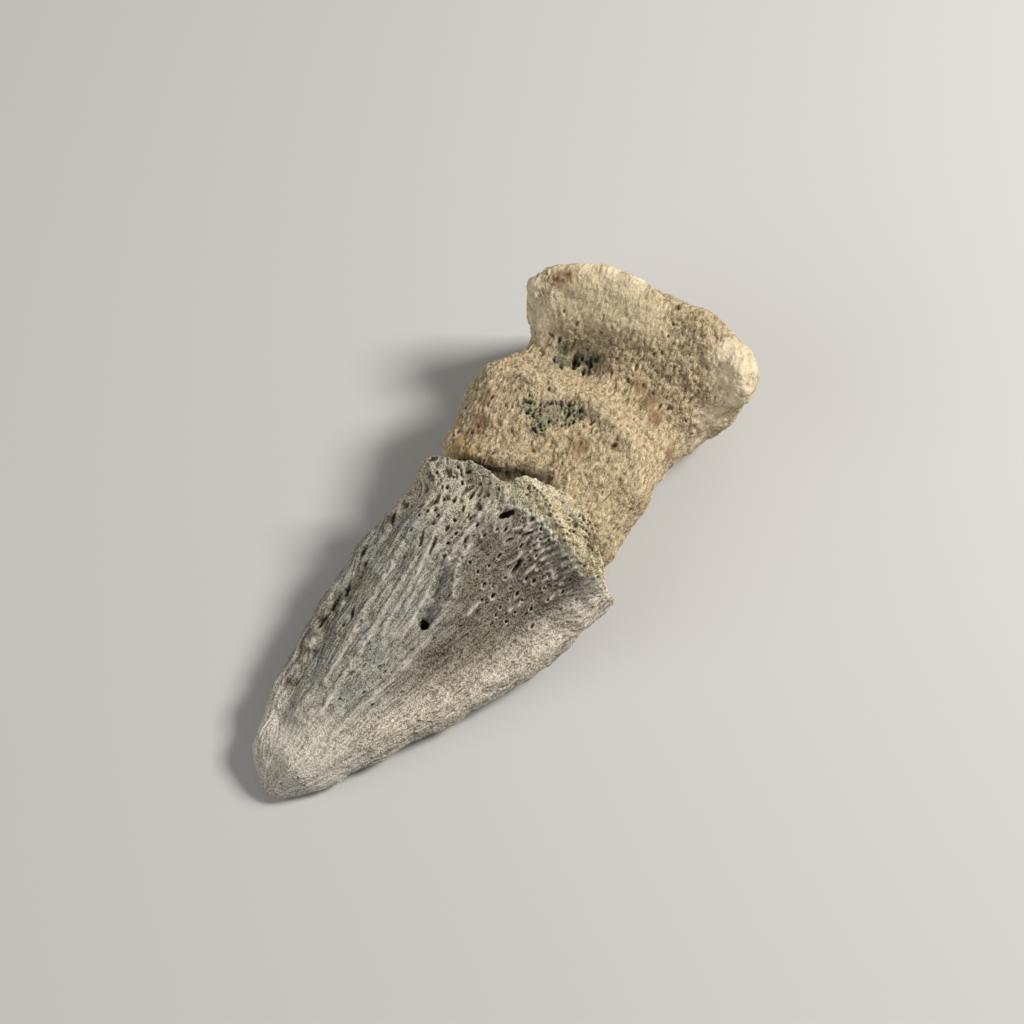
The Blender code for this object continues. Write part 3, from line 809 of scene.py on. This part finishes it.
def toe_material(settings):
    """Tan granular bone, with dark green pits and brown and yellow stains, painted shade in its
    pits, low places and the gap beside the claw, and painted light on its raised places and edges.
    """
    material, tree, shader = new_material("toe fossil bone")
    place = add_node(tree, "TexCoord").outputs["Object"]
    grain_place = add_node(tree, "Attribute", attribute_name="grain_run").outputs["Vector"]
    grains = stretched_noise(tree, grain_place, (1.6, 0.7, 1.6), 2.0)
    speckle = noise_value(tree, place, SPECKLE_SCALE, 1.0)
    blotches = noise_value(tree, place, 150.0, 3.0)
    patches = noise_value(tree, place, 600.0, 2.0)
    # The relief attribute darkens low places and lightens raised ones: painted shade and painted
    # light
    tone = blend_tones(
        tree, (attribute_value(tree, "relief"), RELIEF_SHADE_WEIGHT), (grains, 1.3), (speckle, 1.7),
        (patches, 0.9),
    )
    colour = zone_colour(tree, settings, "tan", tone)
    rosy = rescale(tree, blotches, 0.48, 0.62, 0.0, 0.6)
    colour = mix_colour(tree, rosy, colour, zone_colour(tree, settings, "rosy", tone))
    colour = add_zones(tree, settings, tone, colour, ("plateau", "pale"))
    stains = {"yellow": settings.yellow_stain, "brown": settings.brown_stain}
    colour = add_stains(tree, colour, stains)
    colour = add_zones(tree, settings, tone, colour, ("green",))
    # Painted shade, with some dirt, in the gap beside the claw's rim, then painted shade in the
    # pits
    colour = add_stains(tree, colour, {"dirt": settings.dirt, "pit": settings.hole_shade_colour})
    roughness = rescale(tree, grains, 0.3, 0.7, 0.72, 0.93)
    height = blend_tones(tree, (grains, 1.2), (speckle, 0.8))
    finish_material(tree, shader, colour, roughness, height, 0.30 * MM)
    return material


def colour_property(name, description, default):
    return bpy.props.FloatVectorProperty(
        name=name, description=description, default=default, size=4, min=0.0, max=1.0,
        subtype="COLOR",
    )


def number_property(name, description, default, **kind):
    return bpy.props.FloatProperty(
        name=name, description=description, default=default, min=0.0, precision=5, **kind
    )


def length_property(name, description, default):
    return number_property(name, description, default, subtype="DISTANCE", unit="LENGTH")


def zone_properties(zones):
    """The dark and the light colour of each kind of bone surface, as properties of a group."""
    properties = {}
    for zone, (label, place, dark, light) in zones.items():
        dark_text, light_text = f"Low parts of {place}", f"High parts of {place}"
        properties[zone + "_dark"] = colour_property(f"{label}, dark", dark_text, dark)
        properties[zone + "_light"] = colour_property(f"{label}, light", light_text, light)
    return properties


class ClawSettings(bpy.types.PropertyGroup):
    """Sizes and colours of the claw bone."""

    voxel: length_property("Mesh step", "Spacing of the points while sculpting", 0.00024)
    fibre_height: length_property("Fibre height", "How far the fibres stand out", 0.00040)
    hole_depth: length_property("Hole depth", "Depth of the small vessel holes", 0.0008)
    # Painted shade inside the holes
    hole_shade_colour: colour_property("Hole", "Inside of the holes", (0.020, 0.014, 0.009, 1))
    __annotations__.update(zone_properties({
        "grey": ("Grey", "the fibres", (0.110, 0.100, 0.076, 1), (0.480, 0.452, 0.375, 1)),
        "cool": ("Cool grey", "bluish patches", (0.115, 0.116, 0.100, 1), (0.490, 0.500, 0.465, 1)),
        "hollow": ("Hollow", "the dark hollow", (0.040, 0.032, 0.023, 1), (0.318, 0.278, 0.216, 1)),
        "pale": ("Tip", "the pale tip", (0.360, 0.330, 0.270, 1), (0.880, 0.835, 0.735, 1)),
        "warm": ("Margin", "the pink margin", (0.230, 0.192, 0.150, 1), (0.825, 0.740, 0.618, 1)),
        "rim": ("Left rim", "the net-like rim", (0.120, 0.102, 0.075, 1), (0.680, 0.620, 0.480, 1)),
        "band": ("Right rim", "the yellow rim", (0.220, 0.175, 0.090, 1), (0.880, 0.760, 0.480, 1)),
        "soil": ("Soil", "the groove's soil", (0.022, 0.020, 0.012, 1), (0.185, 0.165, 0.115, 1)),
    }))


class ToeSettings(bpy.types.PropertyGroup):
    """Sizes and colours of the toe bone."""

    voxel: length_property("Mesh step", "Spacing of the points while sculpting", 0.00025)
    grain_height: length_property("Grain height", "How far the grains stand out", 0.00048)
    hole_depth: length_property("Hole depth", "Depth of the small pits", 0.0006)
    yellow_stain: colour_property("Yellow", "Stain beside the joint", (0.420, 0.290, 0.090, 1))
    brown_stain: colour_property("Brown", "Stained chips and spots", (0.230, 0.118, 0.056, 1))
    # Painted shade, with some dirt, in the gap beside the claw's rim
    dirt: colour_property("Dirt", "Dirt in the gap beside the claw", (0.035, 0.026, 0.012, 1))
    # Painted shade inside the pits
    hole_shade_colour: colour_property("Pit", "Inside of the small pits", (0.036, 0.028, 0.014, 1))
    __annotations__.update(zone_properties({
        "tan": ("Tan", "the grains", (0.150, 0.102, 0.048, 1), (0.730, 0.605, 0.385, 1)),
        "rosy": ("Rosy tan", "reddish patches", (0.140, 0.085, 0.042, 1), (0.660, 0.520, 0.340, 1)),
        "plateau": ("Plateau", "the back end", (0.370, 0.300, 0.180, 1), (0.770, 0.665, 0.440, 1)),
        # Worn edges, their colours made lighter still as painted light
        "pale": ("Edge", "the worn edges", (0.720, 0.585, 0.400, 1), (1.0, 0.860, 0.620, 1)),
        # Green: the real dark green patch and pits, also used as painted shade around the upper pit
        "green": ("Green", "the dark pits", (0.045, 0.040, 0.022, 1), (0.310, 0.290, 0.190, 1)),
    }))


class StageSettings(bpy.types.PropertyGroup):
    """Floor and light."""

    floor_size: length_property("Floor size", "Width of the floor", 3.0)
    floor_colour: colour_property("Floor", "Colour of the floor", (0.56, 0.555, 0.545, 1))
    key_power: number_property("Key light", "Power of the main light", 11.7, unit="POWER")
    fill_power: number_property("Fill light", "Power of the light opposite", 2.9, unit="POWER")
    sky_strength: number_property("Sky", "Strength of the light from all around", 0.19)


def shape_claw(surface):
    """The claw's larger forms: its rim, the hollow, the channel and the long raised fibres."""
    points = surface.points
    surface.lift += 0.45 * layered_noise(points / 6.0, 11)
    rim = bell(surface.from_line(RIM_EDGE), 7.0) * surface.facing_up()
    surface.lift += 0.6 * rim * layered_noise(points / 2.8, 12)
    right, _, _ = camera_axes()
    pushed = RIM_PUSH * bell(surface.from_line(RIGHT_RIM), 4.0)
    surface.points -= pushed[:, None] * np.array(right)
    for pixels, radius, height in CLAW_STROKES:
        # Thin raised ridges also get a painted highlight
        thin_ridge = 0 < height and radius < 1.0
        surface.stroke(pixels, radius, height, RIDGE_HIGHLIGHT if thin_ridge else 0.0)
    surface.write()
    surface.read()
    surface.soften(0.9 * bell(surface.from_line(SOFT_SEAM), 2.2), rounds=70)
    surface.write()
    surface.read()


def claw_zones(surface):
    """Shares from 0 to 1 that say where the claw's kinds of bone surface are, and where painted
    highlights go along the rim's seam.
    """
    points, normals = surface.points, surface.normals
    x, y, _ = points.T
    facing_up = surface.facing_up()
    wobble = 1.2 * layered_noise(points / 2.5, 13)
    seam_line = np.array([surface.at(pixel) for pixel in RIM_SEAM])
    order = np.argsort(seam_line[:, 0])
    seam_y = np.interp(x, seam_line[order, 0], seam_line[order, 1])
    right_part = smooth_step(x + wobble, -7.0, 1.0)
    ragged = 1.6 * gradient_noise(points / 2.2, 10) + 0.9 * gradient_noise(points / 0.8, 9)
    behind_seam = smooth_step(y - seam_y + ragged, -0.9, 1.5)
    margin = surface.from_line(RIGHT_MARGIN)
    band = behind_seam * right_part * smooth_step(normals[:, 2], -0.7, -0.1)
    # Painted highlight along the crest of the rim's seam, on upward faces; the same mask also
    # raises the crest
    seam_crest_highlight = bell(y - seam_y + ragged, 0.55) * right_part * facing_up
    seam_crest_highlight *= smooth_step(gradient_noise(points / 1.1, 8), -0.7, 0.0)
    # Painted highlights of thin threads near the seam, on upward faces, kept as the threads
    # attribute
    seam_thread_highlight = bell(y - seam_y, 6.5) * right_part * (1 - 0.6 * behind_seam) * facing_up
    seam_thread_highlight *= smooth_step(layered_noise(points / 2.4, 7), -0.5, 0.3)
    band *= 1 - 0.6 * surface.around(BAND_GREY, 2.2)
    end_face = smooth_step(normals[:, 1], 0.55, 0.8) * smooth_step(y, -10.0, -4.0) * (1 - band)
    rim = smooth_step(y + 2 * wobble, -9.0, 0.0) * (1 - right_part)
    hollow = np.clip(1.7 * surface.around(HOLLOW_AREA, 6.5), 0, 1) * (1 - behind_seam)
    hollow *= smooth_step(margin + wobble, 1.0, 6.0)
    soil = bell(surface.from_line(LEFT_GROOVE), 3.4)
    soil *= smooth_step(layered_noise(points / 2.6, 14), -0.25, 0.45)
    soil = np.clip(0.45 * soil + surface.spots(SOIL_SPOTS), 0, 1)
    pale = smooth_step(-y - 3 * wobble, 47.0, 66.0)
    margin_x = np.interp(y, (-70, 6), (-12, 24))
    warm = bell(margin, 6.5) * smooth_step(x - margin_x, -2.0, 3.0) * (1 - pale)
    return {
        "band": band, "rim": rim, "hollow": hollow, "soil": soil, "pale": pale, "warm": warm,
        "seam_crest_highlight": seam_crest_highlight, "end_face": end_face, "seam_thread_highlight": seam_thread_highlight,
    }


def sculpt_claw(bone, settings):
    """Gives the claw bone its forms, fibres and holes, and the masks of its colours, painted shade
    and painted highlights among them.
    """
    surface = Surface(bone, seed=15)
    shape_claw(surface)
    zones = claw_zones(surface)
    hollow, band, rim = zones["hollow"], zones["band"], zones["rim"]
    points = surface.points
    fibre_map = FibreMap(points)
    fibres = fibre_map.place(points)
    wavy = warped(fibres, size=9.0, amount=1.1, seed=16)
    open_bone = 1 - surface.in_joint("toe_bone")
    end_face = zones["end_face"]
    near_tip = smooth_step(-points[:, 1], 30.0, 60.0)

    fibre_share = (1 - 0.8 * hollow) * (1 - 0.9 * band) * (1 - 0.5 * rim)
    fibre_share *= 1 - 0.5 * zones["pale"]
    fibre_share *= (1 - 0.5 * zones["warm"]) * open_bone * (1 - end_face)
    coarse = sharp_ridges(wavy / (1.9, 1.9, 30.0), 21)
    medium = sharp_ridges(wavy / (1.0, 1.0, 15.0), 22)
    broad = sharp_ridges(wavy / (3.4, 3.4, 34.0), 23)
    strands = (1 - near_tip) * (0.7 * coarse + 0.5 * medium)
    strands += near_tip * (0.8 * broad + 0.5 * coarse)
    height = settings.fibre_height / MM
    surface.lift += height * fibre_share * (strands - 0.4)
    threads = sharp_ridges(wavy / (1.2, 1.2, 4.0), 24)
    surface.lift += 0.6 * height * hollow * (threads - 0.4)
    for pixels in SEAM_THREADS:
        surface.stroke(pixels, radius=0.34, height=0.55, highlight=0.75)
    crumbs = 0.4 * grains(wavy / (0.8, 0.8, 1.2), 31)
    crumbs += 1.1 * layered_noise(wavy / (0.8, 0.8, 1.4), 32) - 0.15
    crumbs *= 1 + 0.7 * zones["warm"] + 0.3 * zones["pale"] + zones["soil"]
    surface.lift += 0.20 * crumbs * open_bone

    net = warped(fibres, size=1.6, amount=0.7, seed=41) / (1.5, 1.5, 3.0)
    net = sponge(net, share=0.8, seed=42)
    surface.pits -= 0.75 * net * rim * open_bone * (1 - end_face)
    surface.lift += 0.22 * zones["seam_crest_highlight"]
    surface.lift += 0.5 * end_face * layered_noise(points / 1.6, 47) * open_bone
    patches = smooth_step(layered_noise(points / 4.5, 43), -0.25, 0.25)
    holes = sponge(warped(points, size=1.0, amount=0.3, seed=44) / 0.9, share=0.5, seed=45)
    surface.pits -= 0.6 * holes * np.maximum(band * patches, 0.8 * end_face) * open_bone
    surface.lift += 0.30 * band * layered_noise(points / 2.0, 46) * open_bone

    weights = 0.2 + hollow + 0.6 * zones["warm"] + 0.3 * zones["pale"]
    weights *= surface.facing_up() * (1 - band) * open_bone
    chosen, rng = surface.scatter(CLAW_PORES, weights, 51)
    for index in chosen:
        length = rng.uniform(0.5, 1.2)
        along = fibre_map.direction(points[index][None])[0]
        surface.pit(points[index], along, length, 0.55 * length, depth=0.35, lip=0.06)
    start, end = (surface.at(pixel) for pixel in HOLE_LEAN)
    for rows, depth, lip in CLAW_HOLES:
        ways = (lambda places: (end - start)[None]) if rows is HOLLOW_HOLES else fibre_map.direction
        surface.pits_at(rows, ways, depth * settings.hole_depth / MM, lip)
    for slot in CLAW_SLOTS:
        surface.slot(*slot)
    grain = 0.6 * surface.spots(PALE_GRAINS)
    surface.lift += 0.4 * grain * (1 + 0.9 * surface.rough)

    # Painted highlights on the lips of the hollow's holes
    lip_highlights = 0.65 * surface.lip_highlights * hollow
    surface.keep(
        fibres=fibres + end_face[:, None] * (points - fibres),
        relief=surface.relief(height=0.22),
        bare=np.clip(hollow + band + 0.5 * rim + 0.9 * zones["pale"], 0, 1),
        soil=zones["soil"] * (1 - grain),
        grain=grain,
        # Painted highlights on thin ridges, the seam's crest and the hollow's hole lips
        ridge=np.maximum.reduce([surface.ridge, 0.8 * zones["seam_crest_highlight"], lip_highlights]),
        threads=zones["seam_thread_highlight"],
        # Painted shade in the holes, darker the deeper they are
        pit=0.9 * smooth_step(-surface.pits, 0.4, 1.1),
        **{name: zones[name] for name in ("hollow", "band", "pale", "warm", "rim")},
    )
    surface.write()


def sculpt_toe(bone, settings):
    """Gives the toe bone its pits, the raised line of its joint, grains and stains, and the masks
    of its colours, painted shade and painted light among them.
    """
    surface = Surface(bone, seed=18)
    surface.lift += 0.45 * layered_noise(surface.points / 6.0, 17)
    for pixels, radius, height in TOE_STROKES:
        surface.stroke(pixels, radius, height)
    surface.write()
    surface.read()

    points = surface.points
    facing_up = surface.facing_up()
    wobble = layered_noise(points / 2.0, 19)
    open_bone = 1 - surface.in_joint("claw")
    plateau = np.clip(1.4 * surface.around(PLATEAU, 5.0) + 0.3 * wobble, 0, 1) * facing_up
    patch = np.clip(1.8 * surface.around(LOWER_PATCH, 2.2) - 0.2 + 0.35 * wobble, 0, 1)
    patch_middle = surface.around(PATCH_MIDDLE, 1.5)
    deep = np.clip(1.5 * surface.around(UPPER_PIT, 1.7) - 0.15 + 0.4 * wobble, 0, 1)
    shade = np.clip(surface.around(UPPER_SHADE, 4.0) + 0.3 * wobble, 0, 1)
    # Worn edges and corner, lightened as painted light as well
    edge = np.maximum.reduce([
        0.8 * surface.around(WORN_EDGE_AND_PAINTED_LIGHT, 3.2), surface.around(WORN_CORNER_AND_PAINTED_LIGHT, 3.6),
        0.1 * bell(surface.from_line(PALE_RIDGE), 1.3),
    ])
    edge = np.clip(1.1 * edge + 0.3 * wobble, 0, 1)
    brown = np.clip(1.5 * surface.spots(BROWN_STAINS) - 0.2 + 0.5 * wobble, 0, 1)
    yellow = np.clip(1.3 * surface.spots(YELLOW_STAINS) - 0.2 + 0.5 * wobble, 0, 1)
    # Painted shade, with some dirt, along the gap under the claw's rim
    dirt = np.clip(1.3 * bell(surface.from_line(JOINT_SHADE_AND_DIRT), 2.3) + 0.4 * wobble, 0, 1)
    dirt *= smooth_step(-surface.from_line(DEEP_SHADE_AND_DIRT), -12.0, -1.0)

    run = points @ GRAIN_TURN.T
    wavy = warped(run, size=4.0, amount=0.8, seed=61)
    height = settings.grain_height / MM * (1 - 0.55 * plateau) * (1 - 0.25 * edge)
    height *= 0.25 + 0.75 * open_bone
    surface.lift += height * (grains(wavy / (0.85, 1.9, 0.95), 71) - 0.3)
    surface.lift += 0.55 * height * (grains(wavy / (0.55, 1.1, 0.6), 72) - 0.3)
    surface.lift += 0.9 * height * layered_noise(wavy / (2.0, 3.2, 2.0), 73)
    holes = sponge(wavy / (1.3, 2.2, 1.3), share=0.25, seed=74, wall=0.2)
    surface.pits -= 0.5 * height * holes
    lattice = warped(run, size=1.2, amount=0.5, seed=75) / (0.75, 1.2, 0.9)
    lattice = sponge(lattice, share=0.85, seed=76, wall=0.05)
    lattice *= 1 - 0.8 * patch_middle
    surface.pits -= 0.8 * np.maximum(patch, 0.8 * deep) * lattice

    weights = (1.0 - 0.6 * plateau) * (0.2 + facing_up) * open_bone
    chosen, rng = surface.scatter(TOE_PITS, weights, 81)
    for index in chosen:
        length = rng.uniform(0.6, 1.7)
        along = np.array([rng.normal(-0.24, 0.2), 1.0, 0.0])
        depth = rng.uniform(0.2, 0.4)
        surface.pit(points[index], along, length, 0.5 * length, depth, lip=0.03)

    grainwise = GRAIN_TURN[1][None]
    surface.pits_at(TOE_HOLES, lambda places: grainwise, settings.hole_depth / MM, lip=0.05)
    for slot in TOE_SLOTS:
        surface.slot(*slot)

    hidden = np.maximum(lattice, 0.8 * patch_middle)
    surface.keep(
        grain_run=run,
        relief=surface.relief(height=0.30),
        plateau=plateau,
        # Worn edges with painted light
        pale=edge,
        # The real dark green patch and upper pit, plus painted shade around the upper pit
        green=np.clip(patch * (0.75 + 0.25 * hidden) + 0.95 * deep + 0.4 * shade, 0, 1),
        brown=0.7 * brown,
        yellow=0.6 * yellow,
        dirt=0.9 * dirt,
        # Painted shade in the pits, darker the deeper they are, and darker in the upper pit
        pit=np.clip(0.85 * smooth_step(-surface.pits, 0.3, 1.1) + 0.25 * deep, 0, 1),
    )
    surface.write()


def build_bone(node, settings, sculpt, make_material):
    """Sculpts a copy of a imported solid, colours it and puts it in the solid's place."""
    bone = fine_copy(node, settings.voxel)
    sculpt(bone, settings)
    thin_out(bone)
    bone.data.materials.clear()
    bone.data.materials.append(make_material(settings))
    bone.data.shade_smooth()
    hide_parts(node)
    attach(bone, "root")


class FOSSIL_OT_claw(bpy.types.Operator):
    """Sculpt and colour the claw bone"""

    bl_idname = "fossil.claw"
    bl_label = "Claw Bone"

    def execute(self, context):
        build_bone("claw", context.scene.fossil_claw_settings, sculpt_claw, claw_material)
        return {"FINISHED"}


class FOSSIL_OT_toe_bone(bpy.types.Operator):
    """Sculpt and colour the toe bone"""

    bl_idname = "fossil.toe_bone"
    bl_label = "Toe Bone"

    def execute(self, context):
        build_bone("toe_bone", context.scene.fossil_toe_settings, sculpt_toe, toe_material)
        return {"FINISHED"}


def add_area_light(name, power, direction, distance, size, colour):
    """A soft square light that faces the bones, from a direction along the camera's axes."""
    right, up, back = camera_axes()
    way = (right * direction[0] + up * direction[1] + back * direction[2]).normalized()
    light = bpy.data.lights.new(name, "AREA")
    light.size = size
    light.energy = power
    light.color = colour
    lamp = bpy.data.objects.new(name, light)
    lamp.location = CAMERA_AIM + way * distance
    lamp.rotation_mode = "QUATERNION"
    lamp.rotation_quaternion = (-way).to_track_quat("-Z", "Y")
    bpy.context.scene.collection.objects.link(lamp)


class FOSSIL_OT_stage(bpy.types.Operator):
    """Set up the pale floor, the soft lights and the photograph's camera"""

    bl_idname = "fossil.stage"
    bl_label = "Floor, Lights and Camera"

    def execute(self, context):
        settings = context.scene.fossil_stage_settings
        bpy.ops.object.select_all(action="DESELECT")
        bpy.ops.mesh.primitive_plane_add(size=settings.floor_size, location=(0, 0, 0))
        floor = context.active_object
        floor.name = "floor"
        material, _, shader = new_material("pale floor")
        shader.inputs["Base Color"].default_value = settings.floor_colour
        shader.inputs["Roughness"].default_value = 0.9
        floor.data.materials.append(material)
        world = bpy.data.worlds.new("studio")
        world.use_nodes = True
        background = world.node_tree.nodes["Background"]
        background.inputs["Color"].default_value = (*SKY_COLOUR, 1.0)
        background.inputs["Strength"].default_value = settings.sky_strength
        context.scene.world = world
        context.scene.view_settings.view_transform = "Standard"
        add_area_light("key light", settings.key_power, *KEY_LIGHT)
        add_area_light("fill light", settings.fill_power, *FILL_LIGHT)
        _, _, back = camera_axes()
        camera = bpy.data.cameras.new("photo camera")
        camera.lens = CAMERA_LENS
        camera.sensor_width = CAMERA_SENSOR
        camera.clip_start = 0.01
        stand = bpy.data.objects.new("photo camera", camera)
        stand.location = CAMERA_AIM + back * CAMERA_DISTANCE
        stand.rotation_mode = "QUATERNION"
        stand.rotation_quaternion = (-back).to_track_quat("-Z", "Y")
        context.scene.collection.objects.link(stand)
        context.scene.camera = stand
        return {"FINISHED"}


class FOSSIL_PT_panel(bpy.types.Panel):
    """Buttons and settings of the fossil claw"""

    bl_idname = "FOSSIL_PT_panel"
    bl_label = "Fossil Claw"
    bl_space_type = "VIEW_3D"
    bl_region_type = "UI"
    bl_category = "Fossil Claw"

    def draw(self, context):
        scene = context.scene
        parts = (
            ("fossil.claw", scene.fossil_claw_settings),
            ("fossil.toe_bone", scene.fossil_toe_settings),
            ("fossil.stage", scene.fossil_stage_settings),
        )
        for operator, settings in parts:
            box = self.layout.box()
            box.operator(operator)
            for name in type(settings).__annotations__:
                box.prop(settings, name)


CLASSES = (
    ClawSettings,
    ToeSettings,
    StageSettings,
    FOSSIL_OT_claw,
    FOSSIL_OT_toe_bone,
    FOSSIL_OT_stage,
    FOSSIL_PT_panel,
)
SETTINGS = {
    "fossil_claw_settings": ClawSettings,
    "fossil_toe_settings": ToeSettings,
    "fossil_stage_settings": StageSettings,
}


def register():
    for item in CLASSES:
        bpy.utils.register_class(item)
    for name, group in SETTINGS.items():
        setattr(bpy.types.Scene, name, bpy.props.PointerProperty(type=group))


def unregister():
    for name in SETTINGS:
        delattr(bpy.types.Scene, name)
    for item in reversed(CLASSES):
        bpy.utils.unregister_class(item)


def main():
    register()
    bpy.ops.fossil.claw()
    bpy.ops.fossil.toe_bone()
    bpy.ops.fossil.stage()


if __name__ == "__main__":
    main()
